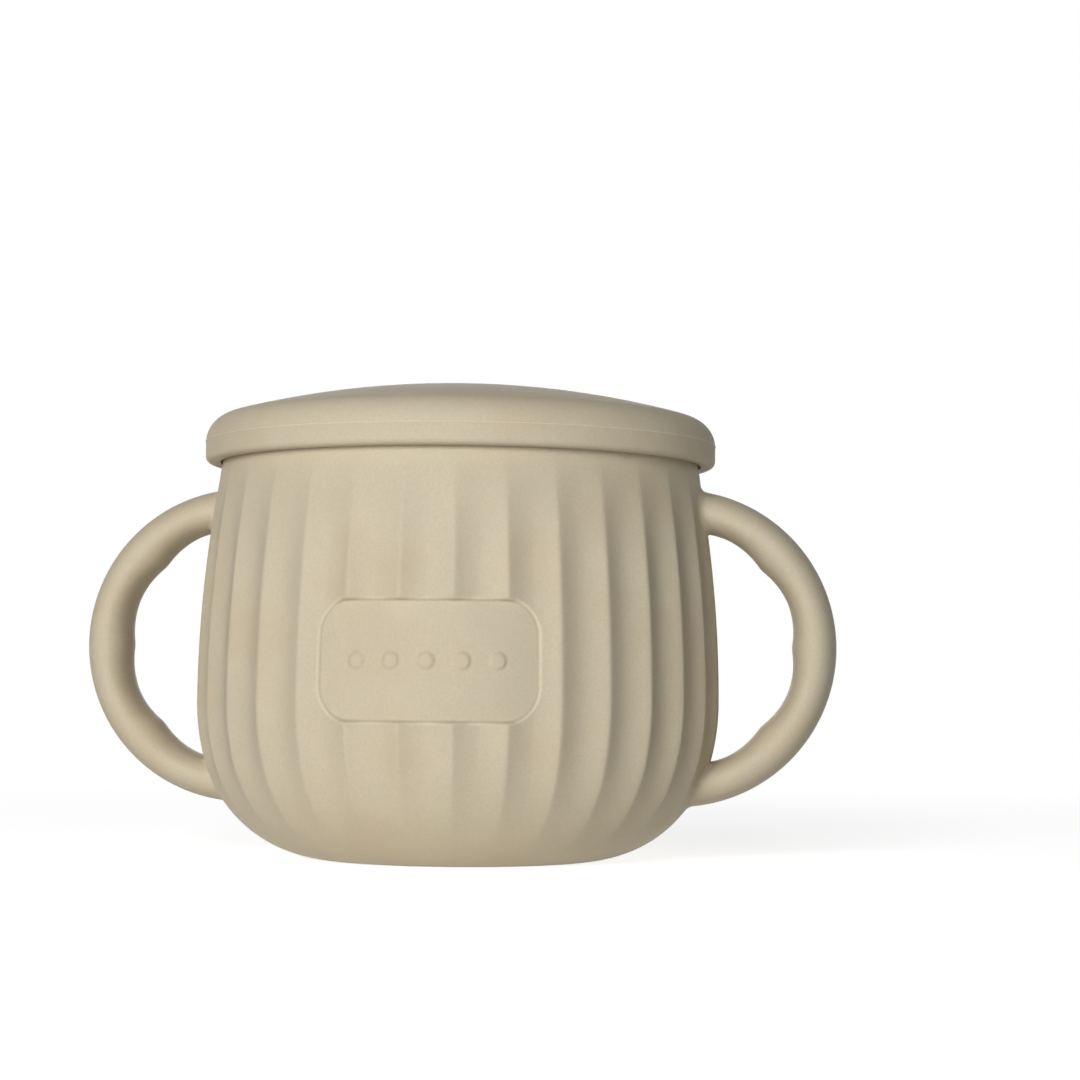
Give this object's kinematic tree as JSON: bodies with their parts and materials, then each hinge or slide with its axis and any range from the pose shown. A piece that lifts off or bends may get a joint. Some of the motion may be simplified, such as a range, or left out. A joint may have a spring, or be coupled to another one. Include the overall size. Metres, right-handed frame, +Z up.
{
  "type": "toddler snack container",
  "caption": "Soft silicone snack cup for a toddler: fluted pot with D-shaped handles, a snack lid with curved slits and flexing petals, and a domed cover lid.",
  "frame": {"origin": "centre of the flat base, on the surface that the cup stands on", "axes": "+Z up, X along the line through both handles, the plaque faces -Y"},
  "size_m": [0.137, 0.0943, 0.0859],
  "materials": {
    "cup_silicone": "matte satin silicone",
    "handle_silicone": "matte satin silicone",
    "snack_lid_silicone": "matte satin silicone",
    "petal_silicone": "matte satin silicone",
    "cover_silicone": "matte satin silicone"
  },
  "bodies": {
    "cup_body": {"cup": "cup_silicone", "left_handle": "handle_silicone", "right_handle": "handle_silicone"},
    "snack_lid_body": {"snack_lid": "snack_lid_silicone"},
    "cover_lid_body": {"cover_lid": "cover_silicone"},
    "petal_1_body": {"petal_1": "petal_silicone"},
    "petal_2_body": {"petal_2": "petal_silicone"},
    "petal_3_body": {"petal_3": "petal_silicone"},
    "petal_4_body": {"petal_4": "petal_silicone"},
    "petal_5_body": {"petal_5": "petal_silicone"}
  },
  "joints": [
    {"name": "snack_lid_lift", "type": "slide", "parent": "cup_body", "child": "snack_lid_body", "axis": [0, 0, 1], "range_m": [0, 0.025]},
    {"name": "cover_lid_lift", "type": "slide", "parent": "snack_lid_body", "child": "cover_lid_body", "axis": [0, 0, 1], "range_m": [0, 0.04]},
    {"name": "petal_1_flex", "type": "hinge", "parent": "snack_lid_body", "child": "petal_1_body", "pos_m": [0.02212, 0.01329, 0.07575], "axis": [0.515, -0.8572, 0], "range_deg": [-10, 50], "stiffness_Nm_per_rad": 0.012},
    {"name": "petal_2_flex", "type": "hinge", "parent": "snack_lid_body", "child": "petal_2_body", "pos_m": [-0.00581, 0.02515, 0.07575], "axis": [0.9744, 0.225, 0], "range_deg": [-10, 50], "stiffness_Nm_per_rad": 0.012},
    {"name": "petal_3_flex", "type": "hinge", "parent": "snack_lid_body", "child": "petal_3_body", "pos_m": [-0.02571, 0.00225, 0.07575], "axis": [0.0872, 0.9962, 0], "range_deg": [-10, 50], "stiffness_Nm_per_rad": 0.012},
    {"name": "petal_4_flex", "type": "hinge", "parent": "snack_lid_body", "child": "petal_4_body", "pos_m": [-0.01009, -0.02376, 0.07575], "axis": [-0.9205, 0.3907, 0], "range_deg": [-10, 50], "stiffness_Nm_per_rad": 0.012},
    {"name": "petal_5_flex", "type": "hinge", "parent": "snack_lid_body", "child": "petal_5_body", "pos_m": [0.01948, -0.01693, 0.07575], "axis": [-0.6561, -0.7547, 0], "range_deg": [-10, 50], "stiffness_Nm_per_rad": 0.012}
  ]
}
